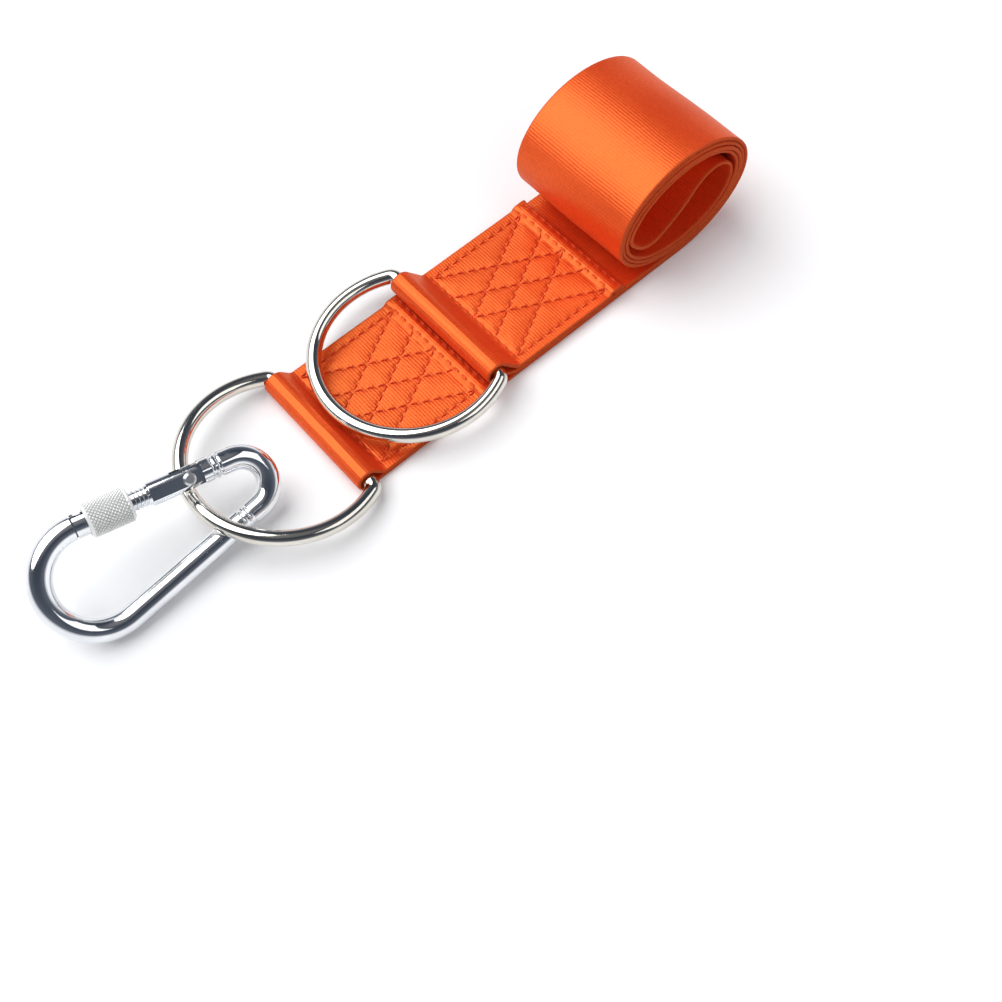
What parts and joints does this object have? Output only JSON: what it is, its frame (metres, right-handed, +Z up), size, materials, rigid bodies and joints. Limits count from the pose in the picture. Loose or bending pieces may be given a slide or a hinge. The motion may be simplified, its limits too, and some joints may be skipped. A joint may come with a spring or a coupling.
{
  "type": "tree swing hanging strap",
  "caption": "Sewn webbing strap rolled up from its middle, a D-ring in each end and a screw-lock carabiner for hanging a swing.",
  "frame": {"origin": "middle of the bottom of the bounding box, on the surface the strap lies on", "axes": "+X along the strap from the carabiner to the roll, +Y across the webbing, +Z up"},
  "size_m": [0.2644, 0.0686, 0.0456],
  "materials": {
    "webbing": "woven polyester, satin",
    "thread": "twisted polyester",
    "ring_steel": "nickel plated, polished",
    "carabiner_steel": "bright zinc plated",
    "sleeve_steel": "diamond knurled, zinc plated",
    "rivet_steel": "plain",
    "spring_steel": "plain"
  },
  "bodies": {
    "strap": {"webbing_belt": "webbing", "lower_patch_stitching": "thread", "lower_hem_stitching": "thread", "underside_stitching": "thread", "upper_patch_stitching": "thread", "upper_hem_stitching": "thread"},
    "lower_ring": {"lower_d_ring": "ring_steel"},
    "upper_ring": {"upper_d_ring": "ring_steel"},
    "carabiner": {"carabiner_body": "carabiner_steel", "gate_rivet": "rivet_steel"},
    "gate": {"carabiner_gate": "carabiner_steel", "gate_spring": "spring_steel"},
    "plunger": {"gate_plunger": "spring_steel"},
    "sleeve": {"lock_sleeve": "sleeve_steel"}
  },
  "joints": [
    {"name": "lower_ring_swing", "type": "hinge", "parent": "strap", "child": "lower_ring", "pos_m": [-0.031, -0.00065, 0.0041], "axis": [0, 1, 0], "range_deg": [0, 90]},
    {"name": "upper_ring_swing", "type": "hinge", "parent": "strap", "child": "upper_ring", "pos_m": [0.0221, 0.00065, 0.0089], "axis": [0, 1, 0], "range_deg": [-2.5, 178]},
    {"name": "carabiner_swing", "type": "hinge", "parent": "lower_ring", "child": "carabiner", "pos_m": [-0.0755, -0.00352, 0.01268], "axis": [-0.0772, 0.997, 0.0102], "range_deg": [0, 80]},
    {"name": "gate_swing", "type": "hinge", "parent": "carabiner", "child": "gate", "pos_m": [-0.0743, 0.00433, 0.02025], "axis": [0.0085, -0.6971, 0.7169], "range_deg": [0, 20], "stiffness_Nm_per_rad": 0.15, "springref_deg": -45.84},
    {"name": "plunger_slide", "type": "slide", "parent": "gate", "child": "plunger", "axis": [-0.9748, 0.154, 0.1613], "range_m": [0, 0.00095], "deforming": ["gate_spring"]},
    {"name": "sleeve_slide", "type": "slide", "parent": "gate", "child": "sleeve", "axis": [0.9748, -0.154, -0.1613], "range_m": [-0.0048, 0.0056]}
  ],
  "couplings": [
    {"joint": "plunger_slide", "follows": "gate_swing", "m_per_rad": 0.00258}
  ]
}
